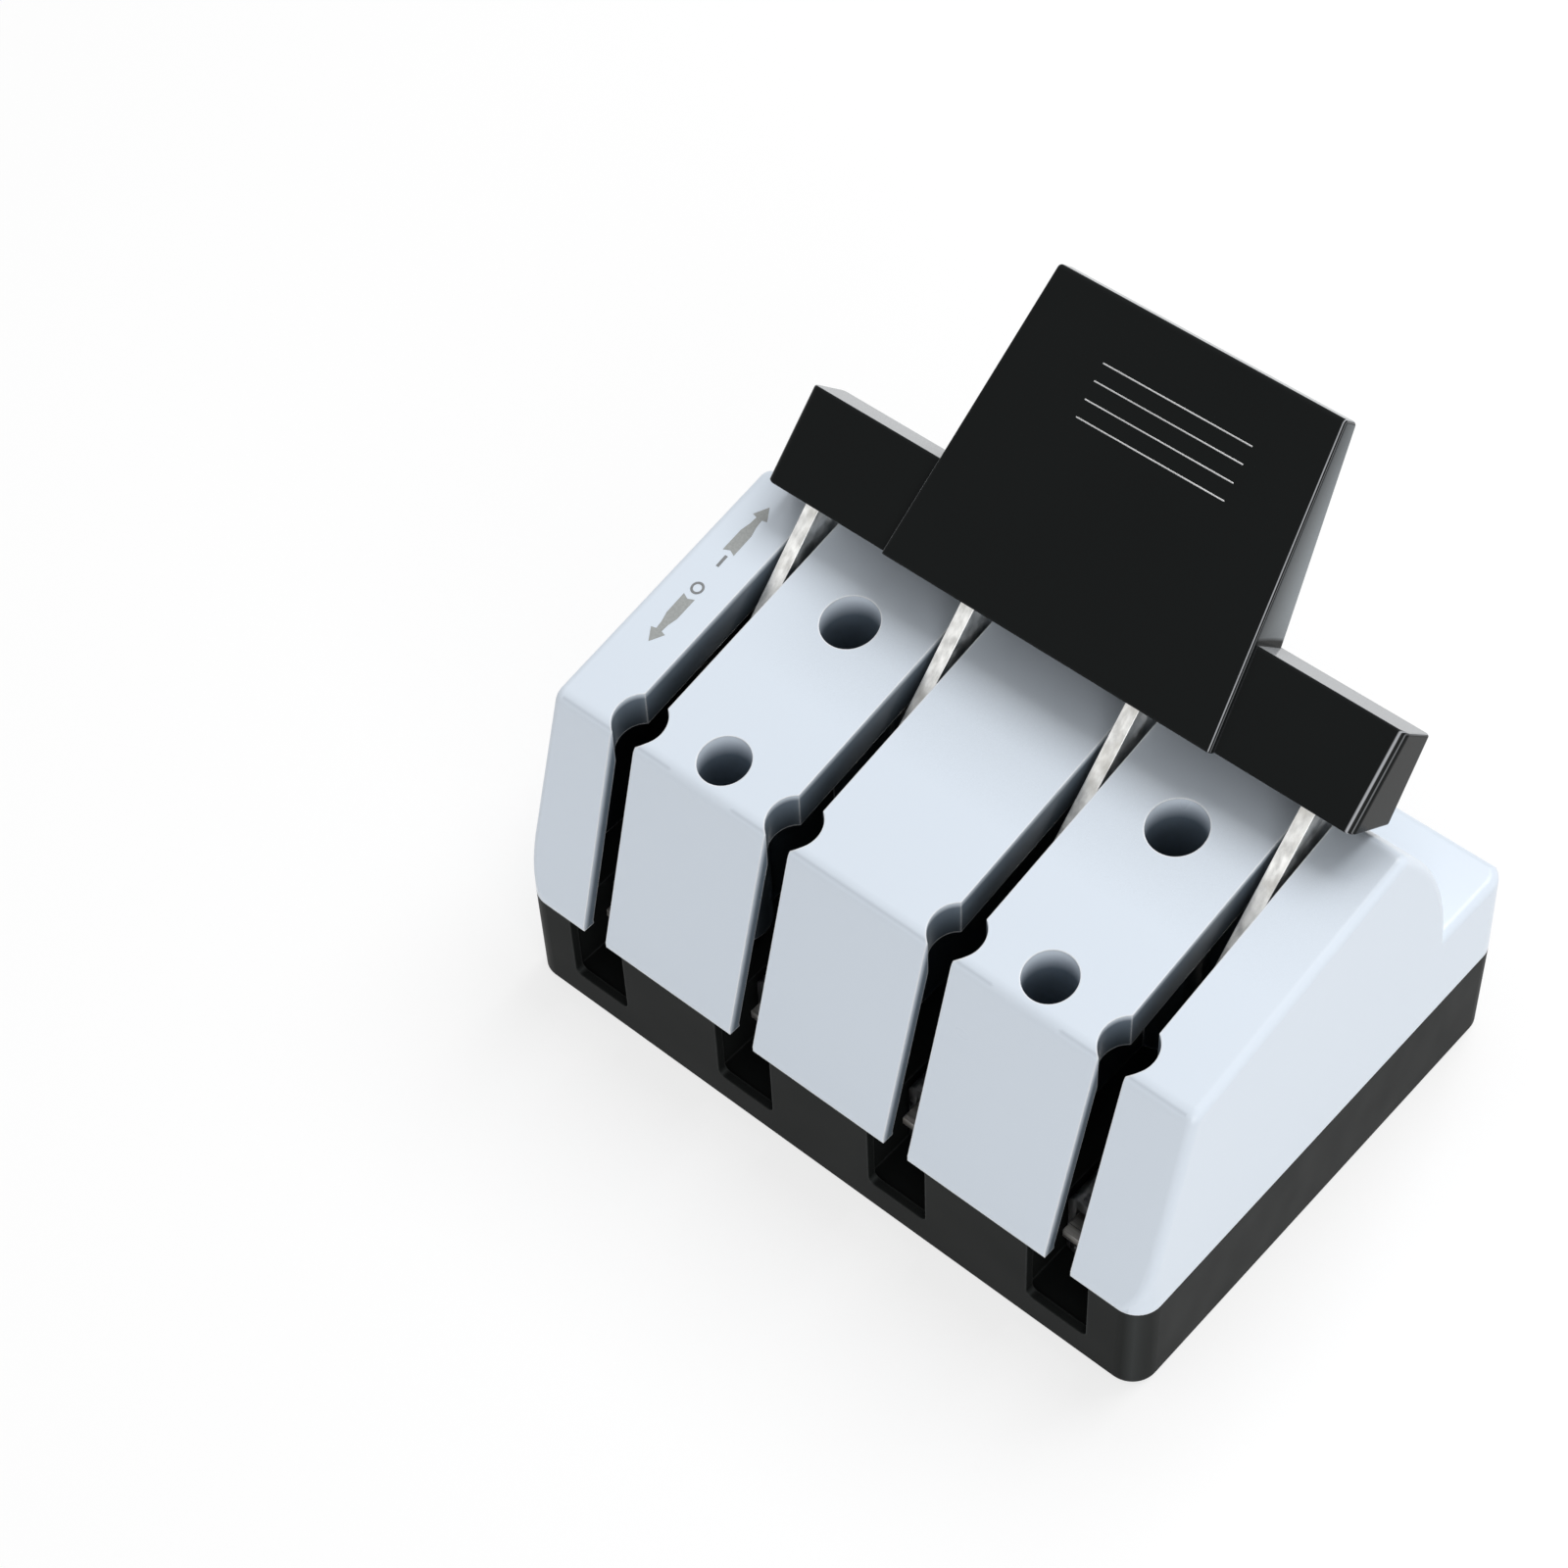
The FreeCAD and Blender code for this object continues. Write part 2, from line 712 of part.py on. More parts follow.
def make_cover_screws():
    screws = []
    for x in screw_columns():
        shank = post(small_screw_radius, x, cover_screw_y, cover_seat_z - cover_screw_depth, cover_seat_z)
        head = slotted_head(x, cover_screw_y, cover_seat_z, small_head_radius, small_head_height,
                            small_head_chamfer)
        screws.append(join([shank, head]))
    return Part.makeCompound(screws)


def build():
    nodes = {
        "base": make_base(),
        "cover": make_cover(),
        "handle": make_handle(),
        "hinge_contact_screws": upward_screws(hinge_y),
        "jaw_contact_screws": upward_screws(jaw_y),
        "cover_screws": make_cover_screws(),
    }
    for number, x in enumerate(pole_places(), start=1):
        nodes[f"blade_{number}"] = make_blade(x)
        nodes[f"hinge_contact_{number}"] = make_hinge_contact(x)
        nodes[f"hinge_pin_{number}"] = make_hinge_pin(x)
        nodes[f"jaw_contact_{number}"] = make_jaw_contact(x)
        nodes[f"jaw_spring_{number}"] = make_jaw_spring(x)
        nodes[f"clamp_front_{number}"] = make_clamp(x, front_terminal_y)
        nodes[f"clamp_rear_{number}"] = make_clamp(x, rear_terminal_y)
        nodes[f"clamp_screw_front_{number}"] = make_clamp_screw(x, front_terminal_y)
        nodes[f"clamp_screw_rear_{number}"] = make_clamp_screw(x, rear_terminal_y)
    return nodes


os.makedirs("parts", exist_ok=True)
for name, shape in build().items():
    shape.exportStep(f"parts/{name}.step")
    print(name, len(shape.Solids), "solids, valid" if shape.isValid() else "solids, NOT VALID",
          round(shape.Volume, 1))
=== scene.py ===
import math

import bmesh
import bpy
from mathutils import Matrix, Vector


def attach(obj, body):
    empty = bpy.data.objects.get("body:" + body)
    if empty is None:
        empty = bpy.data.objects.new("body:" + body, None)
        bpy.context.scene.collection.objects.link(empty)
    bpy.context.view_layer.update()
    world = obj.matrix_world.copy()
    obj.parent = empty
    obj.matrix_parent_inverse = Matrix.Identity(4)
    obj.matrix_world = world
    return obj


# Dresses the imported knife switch: materials, printed marks, grip ribs, floor, light and camera.
# X runs across the poles, Y from the front to the back and Z up. Lengths are in metres, apart from
# names that end in MM and the sizes of the marks and ribs, which are in mm.

MM = 0.001

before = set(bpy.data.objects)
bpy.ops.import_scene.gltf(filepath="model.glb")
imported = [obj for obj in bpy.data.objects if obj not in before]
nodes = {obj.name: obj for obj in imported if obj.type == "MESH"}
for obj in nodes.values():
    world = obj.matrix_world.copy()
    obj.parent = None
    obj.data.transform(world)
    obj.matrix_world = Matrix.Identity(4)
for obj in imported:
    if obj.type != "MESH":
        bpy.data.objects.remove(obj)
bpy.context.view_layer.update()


# Camera, fitted to the photograph's square frame.

CAMERA_PLACE = (0.211655, -0.266386, 0.470212)
CAMERA_TURN_DEG = (39.21675, 2.26162, 41.47561)
CAMERA_LENS_MM = 80.702
CAMERA_SENSOR_MM = 36.0
CAMERA_NEAREST = 0.01


def make_camera():
    data = bpy.data.cameras.new("camera")
    data.lens = CAMERA_LENS_MM
    data.sensor_width = CAMERA_SENSOR_MM
    data.clip_start = CAMERA_NEAREST
    camera = bpy.data.objects.new("camera", data)
    camera.location = CAMERA_PLACE
    camera.rotation_euler = [math.radians(angle) for angle in CAMERA_TURN_DEG]
    bpy.context.scene.collection.objects.link(camera)
    bpy.context.scene.camera = camera


# The cover's outside: a front that leans back, a slope behind the fold, and a hump round the hinge
# line. The fold and the hinge line are given by their places in Y and Z.

FRONT_SETBACK_MM = 10.8
FRONT_HEIGHT_MM = 39.0
FOLD_MM = (-35.2, 60.2)
HINGE_MM = (-21.5, 35.5)
FRONT_LEAN = math.atan2(FRONT_SETBACK_MM, FRONT_HEIGHT_MM)
SLOPE_LEAN = math.radians(11.7)
FRONT_NORMAL = (0.0, -math.cos(FRONT_LEAN), math.sin(FRONT_LEAN))
SLOPE_NORMAL = (0.0, -math.sin(SLOPE_LEAN), math.cos(SLOPE_LEAN))
FOLD = (0.0, FOLD_MM[0] * MM, FOLD_MM[1] * MM)
HINGE_LINE = (0.0, HINGE_MM[0] * MM, HINGE_MM[1] * MM)
HUMP_RADIUS = 0.0502
HOOD_HALF_WIDTH = 0.0605

# The round holes stand in two rows, one on each side of the middle. Depth counts for less in them, so
# the painted shade in them deepens more slowly.

HOLE_ROW = 0.0315
HOLE_REACH = 0.0055
HOLE_FADE = 0.001
HOLE_SLOWNESS = 0.27

# The side walls' inner faces, painted dark as shade, found by their place in X times how far they
# turn towards +X.

INNER_WALL = (-0.0535, -0.0550)

# The shade on the slope under a piece that stands close over it. It fades out below the slope's
# skin and towards the lit left end.

SHADE_REACH = 0.026
SHADE_SAMPLES = 8
FULL_SHADE = 0.8
SLOPE_SKIN = (0.0003, -0.0004)
LIT_END = (-0.051, -0.032)

# The handle at rest, as a plane through the hinge line. The paddle's side, which gets a painted
# highlight, is told from other faces by its turn towards +X and by lying beyond the crossbar. The
# painted sheen leaves out faces towards +X.

REST_ANGLE = math.radians(46.0)
HANDLE_NORMAL = (0.0, -math.sin(REST_ANGLE), math.cos(REST_ANGLE))
PADDLE_FRONT_MM = 8.5
CROSSBAR_REACH = 0.068
CROSSBAR_FADE = 0.0006
PADDLE_SIDE_TURN = (0.90, 0.96)
PADDLE_SIDE_LEAST = 0.2
AWAY_FROM_RIGHT = (0.9, 0.5)

# Painted highlights: light bands on rounded edges, by how far the surface turns towards +X.

BLACK = (0.0, 0.0, 0.0)
GREY = (0.5, 0.5, 0.5)
WHITE = (1.0, 1.0, 1.0)
SHARP_GLINTS = ((0.22, BLACK), (0.34, WHITE), (0.46, WHITE), (0.54, BLACK), (0.74, BLACK), (0.80, GREY),
                (0.88, BLACK))
SOFT_GLINT = ((0.25, BLACK), (0.60, WHITE), (0.96, BLACK))

# The mix node has one set of sockets for each kind of value. These are the ones for colours.

MIX_FACTOR = 0
MIX_UNDER = 6
MIX_OVER = 7
MIX_RESULT = 2
BEVEL_SAMPLES = 6


class Painter:
    """A material's node tree, with short calls for the nodes used here."""

    def __init__(self, name):
        self.material = bpy.data.materials.new(name)
        self.material.use_nodes = True
        self.tree = self.material.node_tree
        self.shader = self.tree.nodes["Principled BSDF"]
        texture = self.node("ShaderNodeTexCoord")
        self.coords = texture.outputs["Object"]
        self.normal = texture.outputs["Normal"]

    def node(self, kind, **settings):
        made = self.tree.nodes.new(kind)
        for key, value in settings.items():
            setattr(made, key, value)
        return made

    def feed(self, target, value):
        """Gives an input another node's output, or a fixed value."""
        if isinstance(value, bpy.types.NodeSocket):
            self.tree.links.new(value, target)
        else:
            target.default_value = value

    def set(self, **values):
        """Feeds the shader's inputs, named with underscores for spaces."""
        for key, value in values.items():
            self.feed(self.shader.inputs[key.replace("_", " ")], value)

    def maths(self, operation, first, second=0.0, clamp=False):
        made = self.node("ShaderNodeMath", operation=operation, use_clamp=clamp)
        self.feed(made.inputs[0], first)
        self.feed(made.inputs[1], second)
        return made.outputs["Value"]

    def times(self, first, *others):
        """The product of several values."""
        for other in others:
            first = self.maths("MULTIPLY", first, other)
        return first

    def smallest(self, first, *others):
        for other in others:
            first = self.maths("MINIMUM", first, other)
        return first

    def vector_math(self, operation, first, second=None):
        made = self.node("ShaderNodeVectorMath", operation=operation)
        self.feed(made.inputs[0], first)
        if second is not None:
            self.feed(made.inputs[1], second)
        return made.outputs["Value" if operation in ("DOT_PRODUCT", "LENGTH") else "Vector"]

    def along_x(self, vector):
        parts = self.node("ShaderNodeSeparateXYZ")
        self.feed(parts.inputs["Vector"], vector)
        return parts.outputs["X"]

    def spread(self, value, low, high, to_low=0.0, to_high=1.0):
        """Maps low and high to two other values, and holds what lies beyond them there."""
        made = self.node("ShaderNodeMapRange")
        for key, end in (("From Min", low), ("From Max", high), ("To Min", to_low), ("To Max", to_high)):
            made.inputs[key].default_value = end
        self.feed(made.inputs["Value"], value)
        return made.outputs["Result"]

    def ramp(self, value, stops):
        made = self.node("ShaderNodeValToRGB")
        elements = made.color_ramp.elements
        while len(elements) < len(stops):
            elements.new(0.5)
        for element, (place, colour) in zip(elements, stops):
            element.position = place
            element.color = (*colour, 1.0)
        self.feed(made.inputs["Fac"], value)
        return made.outputs["Color"]

    def blend(self, factor, under, over):
        """Lays a fixed colour over another where the factor is one."""
        made = self.node("ShaderNodeMix", data_type="RGBA")
        self.feed(made.inputs[MIX_FACTOR], factor)
        self.feed(made.inputs[MIX_UNDER], under)
        made.inputs[MIX_OVER].default_value = (*over, 1.0)
        return made.outputs[MIX_RESULT]

    def stretched(self, scale):
        """Places in the object, stretched along its axes."""
        mapping = self.node("ShaderNodeMapping")
        self.feed(mapping.inputs["Scale"], scale)
        self.feed(mapping.inputs["Vector"], self.coords)
        return mapping.outputs["Vector"]

    def noise(self, scale, detail, vector=None):
        made = self.node("ShaderNodeTexNoise")
        made.inputs["Scale"].default_value = scale
        made.inputs["Detail"].default_value = detail
        self.feed(made.inputs["Vector"], vector or self.coords)
        return made.outputs["Fac"]

    def rounded_normal(self, reach):
        soft = self.node("ShaderNodeBevel", samples=BEVEL_SAMPLES)
        soft.inputs["Radius"].default_value = reach
        return soft.outputs["Normal"]

    def edges(self, reach, low, high):
        """One along edges: there a rounded normal turns away from the true one."""
        true_normal = self.node("ShaderNodeNewGeometry").outputs["Normal"]
        agreement = self.vector_math("DOT_PRODUCT", self.rounded_normal(reach), true_normal)
        return self.spread(agreement, high, low)

    def bump(self, height, strength, distance, round_edge=0.0):
        made = self.node("ShaderNodeBump")
        made.inputs["Strength"].default_value = strength
        made.inputs["Distance"].default_value = distance
        self.feed(made.inputs["Height"], height)
        if round_edge:
            self.feed(made.inputs["Normal"], self.rounded_normal(round_edge))
        self.set(Normal=made.outputs["Normal"])

    def sideways(self):
        """How far the surface turns towards +X."""
        return self.along_x(self.normal)

    def from_hinge(self):
        """Distance from the hinge line."""
        offset = self.vector_math("SUBTRACT", self.coords, HINGE_LINE)
        flat = self.vector_math("MULTIPLY", offset, (0.0, 1.0, 1.0))
        return self.vector_math("LENGTH", flat)

    def behind_plane(self, normal, point):
        """Distance behind a plane with the given outward normal."""
        along = self.vector_math("DOT_PRODUCT", self.coords, normal)
        return self.maths("SUBTRACT", Vector(normal).dot(Vector(point)), along)

    def within_hood(self):
        """Depth inside the cover's front, slope, hump and sides, growing more slowly in the round holes."""
        from_middle = self.maths("ABSOLUTE", self.along_x(self.coords))
        depth = self.smallest(self.behind_plane(FRONT_NORMAL, FOLD), self.behind_plane(SLOPE_NORMAL, FOLD),
                              self.maths("SUBTRACT", HUMP_RADIUS, self.from_hinge()),
                              self.maths("SUBTRACT", HOOD_HALF_WIDTH, from_middle))
        from_row = self.maths("ABSOLUTE", self.maths("SUBTRACT", from_middle, HOLE_ROW))
        pace = self.spread(from_row, HOLE_REACH, HOLE_REACH + HOLE_FADE, HOLE_SLOWNESS, 1.0)
        return self.times(depth, pace)

    def overhung(self):
        """One on the cover's slope where another piece stands close over it."""
        shelter = self.node("ShaderNodeAmbientOcclusion", samples=SHADE_SAMPLES)
        shelter.inputs["Distance"].default_value = SHADE_REACH
        shade = self.spread(shelter.outputs["AO"], 1.0, FULL_SHADE)
        on_slope = self.spread(self.behind_plane(SLOPE_NORMAL, FOLD), *SLOPE_SKIN)
        past_lit_end = self.spread(self.along_x(self.coords), *LIT_END)
        return self.times(shade, on_slope, past_lit_end)

    def inner_sides_shade(self):
        """One on the inner faces of the cover's two side walls, which are painted dark as shade."""
        return self.spread(self.times(self.along_x(self.coords), self.sideways()), *INNER_WALL)

    def paddle_side_highlight(self):
        """A painted highlight, growing from front to back on the paddle's side beyond the crossbar."""
        facing = self.spread(self.sideways(), *PADDLE_SIDE_TURN)
        beyond = self.spread(self.from_hinge(), CROSSBAR_REACH, CROSSBAR_REACH + CROSSBAR_FADE)
        depth = self.behind_plane(HANDLE_NORMAL, HINGE_LINE)
        grown = self.spread(depth, -PADDLE_FRONT_MM * MM, 0.0, PADDLE_SIDE_LEAST, 1.0)
        return self.times(facing, beyond, grown)

    def grazing(self, low, high):
        """One on faces seen nearly along their surface, save those facing +X: the painted sheen."""
        made = self.node("ShaderNodeLayerWeight")
        made.inputs["Blend"].default_value = 0.5
        flat = self.spread(made.outputs["Facing"], low, high)
        return self.times(flat, self.spread(self.sideways(), *AWAY_FROM_RIGHT))


# Moulded plastic, with the scales of its flow patches, gloss smears and the patches along its paler
# edges, which are partly wear and partly a painted highlight.

FLOW_SCALE = 22.0
SMEAR_SCALE = (60.0, 150.0, 90.0)
WEAR_AND_HIGHLIGHT_PATCHES = 420.0
WEAR_AND_HIGHLIGHT_REACH = 0.0005
WEAR_AND_HIGHLIGHT_TURN = (0.84, 0.998)
SKIN_STRENGTH = 0.05
SKIN_DEPTH = 0.00001
PLASTIC_EDGE = 0.0003


def moulded_plastic(name, dark, light, wear_and_highlight, roughness, grain, gloss, recess=(), sheen=(), glint=(),
                    extra=()):
    """Moulded plastic: faint flow patches, fine skin, uneven gloss, edges paler by wear and painted
    highlight.

    recess gives the colours of the painted shade deeper in holes and slots, sheen those of the painted
    sheen on faces seen at a flat angle, glint the colour and the places of painted highlight bands on
    rounded edges, and extra the colours of places that one of the Painter's functions finds, which here
    are painted shade and painted highlights.
    """
    paint = Painter(name)
    body = paint.ramp(paint.noise(FLOW_SCALE, 3.0), ((0.3, dark), (0.7, light)))
    # Painted sheen on faces seen at a flat angle.
    for colour, low, high in sheen:
        body = paint.blend(paint.grazing(low, high), body, colour)
    # Painted shade, darker deeper in holes and slots.
    for colour, low, high in recess:
        body = paint.blend(paint.spread(paint.within_hood(), low, high), body, colour)
    # Painted highlight bands on rounded edges.
    for colour, stops in glint:
        body = paint.blend(paint.ramp(paint.sideways(), stops), body, colour)
    for colour, find_places in extra:
        body = paint.blend(find_places(paint), body, colour)
    # Edges painted paler in patches: partly wear, partly a painted highlight along rims and slot edges.
    patchy = paint.spread(paint.noise(WEAR_AND_HIGHLIGHT_PATCHES, 2.0), 0.35, 0.7, 0.7, 1.0)
    wear_and_highlight_edges = paint.times(paint.edges(WEAR_AND_HIGHLIGHT_REACH, *WEAR_AND_HIGHLIGHT_TURN), patchy)
    smears = paint.noise(1.0, 1.0, paint.stretched(SMEAR_SCALE))
    paint.set(Base_Color=paint.blend(wear_and_highlight_edges, body, wear_and_highlight),
              Roughness=paint.spread(smears, 0.15, 0.85, *roughness),
              Specular_IOR_Level=gloss)
    paint.bump(paint.noise(grain, 1.0), SKIN_STRENGTH, SKIN_DEPTH, PLASTIC_EDGE)
    return paint.material


# Metal, with the scale of its stains, the depth of its streaks and the reach of the painted highlight
# along its edges.

STAIN_SCALE = 170.0
STREAK_STRENGTH = 0.3
STREAK_DEPTH = 0.00004
METAL_EDGE = 0.0002
EDGE_HIGHLIGHT_REACH = 0.0003
EDGE_HIGHLIGHT_TURN = (0.80, 0.97)


def drawn_metal(name, dark, light, stain, roughness, along):
    """Rolled or drawn metal: streaks along one axis, stains and a painted highlight along the edges."""
    paint = Painter(name)
    streaks = paint.noise(1.0, 6.0, paint.stretched(along))
    body = paint.ramp(streaks, ((0.34, dark), (0.66, light)))
    stains = paint.spread(paint.noise(STAIN_SCALE, 5.0), 0.52, 0.72, 0.0, 0.75)
    body = paint.blend(stains, body, stain)
    # Painted highlight along the edges.
    body = paint.blend(paint.edges(EDGE_HIGHLIGHT_REACH, *EDGE_HIGHLIGHT_TURN), body, light)
    dull = paint.spread(stains, 0.0, 1.0, 0.0, 0.2)
    uneven = paint.maths("ADD", paint.spread(streaks, 0.3, 0.7, *roughness), dull, clamp=True)
    paint.set(Base_Color=body, Roughness=uneven, Metallic=1.0)
    paint.bump(streaks, STREAK_STRENGTH, STREAK_DEPTH, METAL_EDGE)
    return paint.material


# Printed ink, with the scale and the depth of its grain.

INK_GRAIN = 2600.0
INK_STRENGTH = 0.3
INK_GRAIN_DEPTH = 0.00002


def printed_ink(name, colour, thin):
    """Pad-printed ink: a little thinner in places, on a matt skin."""
    paint = Painter(name)
    grain = paint.noise(INK_GRAIN, 4.0)
    paint.set(Base_Color=paint.ramp(grain, ((0.35, colour), (0.75, thin))),
              Roughness=paint.spread(grain, 0.3, 0.7, 0.45, 0.6))
    paint.bump(grain, INK_STRENGTH, INK_GRAIN_DEPTH)
    return paint.material


def make_materials():
    return {
        "cover": moulded_plastic(
            "cover_pale", dark=(0.745, 0.820, 0.910), light=(0.755, 0.830, 0.918), wear_and_highlight=(0.98, 0.99, 1.0),
            roughness=(0.27, 0.30), grain=1500.0, gloss=0.5,
            # Painted shade in the holes and slots, darkest deepest in.
            recess=(((0.16, 0.20, 0.245), 0.0002, 0.0012),
                    ((0.045, 0.058, 0.070), 0.0013, 0.0072)),
            # Painted shade on the slope under the crossbar.
            extra=(((0.20, 0.224, 0.248), Painter.overhung),
                   # Inner faces of the side walls painted near black as shade.
                   ((0.010, 0.013, 0.016), Painter.inner_sides_shade))),
        "base": moulded_plastic(
            "base_black", dark=(0.0105, 0.0116, 0.0114), light=(0.0120, 0.0132, 0.0128),
            wear_and_highlight=(0.05, 0.054, 0.053), roughness=(0.42, 0.50), grain=2200.0, gloss=0.04,
            # Painted highlight band on the rounded corners.
            glint=(((0.036, 0.039, 0.039), SOFT_GLINT),)),
        "handle": moulded_plastic(
            "handle_black", dark=(0.0088, 0.0100, 0.0100), light=(0.0100, 0.0113, 0.0113),
            wear_and_highlight=(0.03, 0.032, 0.034), roughness=(0.12, 0.18), grain=900.0, gloss=0.045,
            # Painted sheen, painted highlight bands on edges, and a painted highlight on the paddle's side.
            sheen=(((0.355, 0.368, 0.382), 0.64, 0.80),),
            glint=(((0.42, 0.43, 0.45), SHARP_GLINTS),),
            extra=(((0.34, 0.37, 0.39), Painter.paddle_side_highlight),)),
        "contact": drawn_metal(
            "contact_tinned", dark=(0.50, 0.48, 0.45), light=(0.80, 0.78, 0.75), stain=(0.36, 0.29, 0.23),
            roughness=(0.26, 0.44), along=(60.0, 1200.0, 1200.0)),
        "blade": drawn_metal(
            "blade_tinned", dark=(0.60, 0.60, 0.585), light=(0.96, 0.96, 0.94), stain=(0.52, 0.50, 0.46),
            roughness=(0.28, 0.50), along=(900.0, 420.0, 420.0)),
        "steel": drawn_metal(
            "steel_zinc", dark=(0.46, 0.47, 0.48), light=(0.66, 0.67, 0.68), stain=(0.32, 0.31, 0.29),
            roughness=(0.24, 0.40), along=(1200.0, 1200.0, 90.0)),
        "ink": printed_ink("ink_grey", colour=(0.19, 0.20, 0.205), thin=(0.25, 0.26, 0.27)),
        "pale_ink": printed_ink("ink_pale", colour=(0.32, 0.335, 0.33), thin=(0.40, 0.415, 0.41)),
        "rib": drawn_metal(
            "rib_silver", dark=(0.40, 0.40, 0.40), light=(0.60, 0.60, 0.60), stain=(0.30, 0.30, 0.30),
            roughness=(0.30, 0.45), along=(60.0, 900.0, 900.0)),
    }


def dress_nodes(materials):
    for name, node in nodes.items():
        if name in ("cover", "base", "handle"):
            finish = materials[name]
        elif name.startswith("blade"):
            finish = materials["blade"]
        elif "contact_" in name and "screws" not in name:
            finish = materials["contact"]
        else:
            finish = materials["steel"]
        node.data.materials.clear()
        node.data.materials.append(finish)


# Thin pieces laid on a flat face: the printed marks and the grip ribs.

def add_piece(name, mesh_maker, material, body):
    mesh = bpy.data.meshes.new(name)
    shape = bmesh.new()
    mesh_maker(shape)
    bmesh.ops.recalc_face_normals(shape, faces=shape.faces)
    shape.to_mesh(mesh)
    shape.free()
    piece = bpy.data.objects.new(name, mesh)
    bpy.context.scene.collection.objects.link(piece)
    mesh.materials.append(material)
    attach(piece, body)


def raise_face(shape, outline, place, thickness):
    """Fills an outline, given in a face's own two directions, and gives it a thickness."""
    corners = [shape.verts.new(place(a, b, 0.0)) for a, b in outline]
    bottom = shape.faces.new(corners)
    raised = bmesh.ops.extrude_face_region(shape, geom=[bottom])
    moved = [item for item in raised["geom"] if isinstance(item, bmesh.types.BMVert)]
    bmesh.ops.translate(shape, verts=moved, vec=place(0.0, 0.0, thickness) - place(0.0, 0.0, 0.0))


# The printed marks on the slope. Each line is given by its tail and its tip, in X and Y.

INK_DEPTH = 0.03
ARROW_HALF_WIDTH = 1.47
# Half widths of an arrow as shares of the largest, at shares of its length from the tip.
ARROW_SHAPE = ((0.233, 1.0), (0.257, 0.38), (0.40, 0.46), (0.57, 0.76), (1.0, 0.78))
ARROW_NOTCH = 0.95
UP_ARROW = ((-55.92, -0.91), (-55.95, 9.05))
DOWN_ARROW = ((-55.65, -10.4), (-55.6, -20.07))
BAR_MARK = ((-55.73, -1.51), (-55.68, -3.81))
BAR_MARK_WIDTH = 0.55
RING_CENTRE = (-55.63, -8.53)
RING_RADIUS = 0.94
RING_STROKE = 0.42
RING_STEPS = 40
SAME_POINT = 0.002


def slope_place(across, along, proud):
    """A point on the cover's slope, from places in mm across and along the object."""
    height = FOLD_MM[1] + (along - FOLD_MM[0]) * math.tan(SLOPE_LEAN)
    return Vector((across, along - proud * math.sin(SLOPE_LEAN), height + proud * math.cos(SLOPE_LEAN))) * MM


def beside(tail, tip, share, offset):
    """A point at a share of the way from tip to tail, moved sideways."""
    way = Vector(tail) - Vector(tip)
    side = Vector((-way.y, way.x)).normalized()
    point = Vector(tip) + way * share + side * offset
    return point.x, point.y


def arrow_outline(tail, tip):
    """A waisted arrow with a notched tail, along the slope."""
    wide = [(share, width * ARROW_HALF_WIDTH) for share, width in ARROW_SHAPE]
    right = [beside(tail, tip, share, half) for share, half in wide]
    left = [beside(tail, tip, share, -half) for share, half in wide]
    return [tuple(tip)] + right + [beside(tail, tip, ARROW_NOTCH, 0.0)] + left[::-1]


def stroke_outline(tail, tip, width):
    """A straight bar of even width, along the slope."""
    return [beside(tail, tip, share, side * width / 2)
            for share, side in ((0.0, 1), (1.0, 1), (1.0, -1), (0.0, -1))]


def round_ring(centre, radius, stroke):
    """The outer and the inner outline of a ring on the slope."""
    turns = [2 * math.pi * step / RING_STEPS for step in range(RING_STEPS)]
    return [[(centre[0] + r * math.cos(t), centre[1] + r * math.sin(t)) for t in turns]
            for r in (radius + stroke / 2, radius - stroke / 2)]


def make_marks(materials):
    def flat(outline):
        return lambda shape: raise_face(shape, outline, slope_place, INK_DEPTH)

    for name, outline, ink in (("mark_arrow_close", arrow_outline(*UP_ARROW), "pale_ink"),
                               ("mark_arrow_open", arrow_outline(*DOWN_ARROW), "pale_ink"),
                               ("mark_bar", stroke_outline(*BAR_MARK, BAR_MARK_WIDTH), "ink")):
        add_piece(name, flat(outline), materials[ink], "housing")

    def ring(shape):
        outer, inner = round_ring(RING_CENTRE, RING_RADIUS, RING_STROKE)
        for i in range(RING_STEPS):
            j = (i + 1) % RING_STEPS
            raise_face(shape, (outer[i], outer[j], inner[j], inner[i]), slope_place, INK_DEPTH)
        bmesh.ops.remove_doubles(shape, verts=shape.verts, dist=SAME_POINT * MM)

    add_piece("mark_ring", ring, materials["ink"], "housing")


# The grip ribs on the paddle's front face, by their distances out from the hinge line.

RIB_PLACES = (82.8, 85.7, 88.7, 91.6)
RIB_ENDS = (-12.1, 15.1)
RIB_WIDTH = 0.22
RIB_DEPTH = 0.06


def handle_place(across, out, proud):
    """A point on the paddle's front face, out along the handle from the hinge, in mm."""
    along = (math.cos(REST_ANGLE), math.sin(REST_ANGLE))
    forward = (-along[1], along[0])
    reach = PADDLE_FRONT_MM + proud
    y = HINGE_MM[0] + out * along[0] + reach * forward[0]
    z = HINGE_MM[1] + out * along[1] + reach * forward[1]
    return Vector((across, y, z)) * MM


def make_ribs(materials):
    left, right = RIB_ENDS

    def rib(out):
        low = out - RIB_WIDTH / 2
        high = out + RIB_WIDTH / 2
        outline = ((left, low), (right, low), (right, high), (left, high))
        return lambda shape: raise_face(shape, outline, handle_place, RIB_DEPTH)

    for number, out in enumerate(RIB_PLACES, start=1):
        add_piece(f"grip_rib_{number}", rib(out), materials["rib"], "handle_and_blades")


# The floor, the world and the lamps. The camera and reflections see the floor and the world as white,
# while less light falls from them on the object.

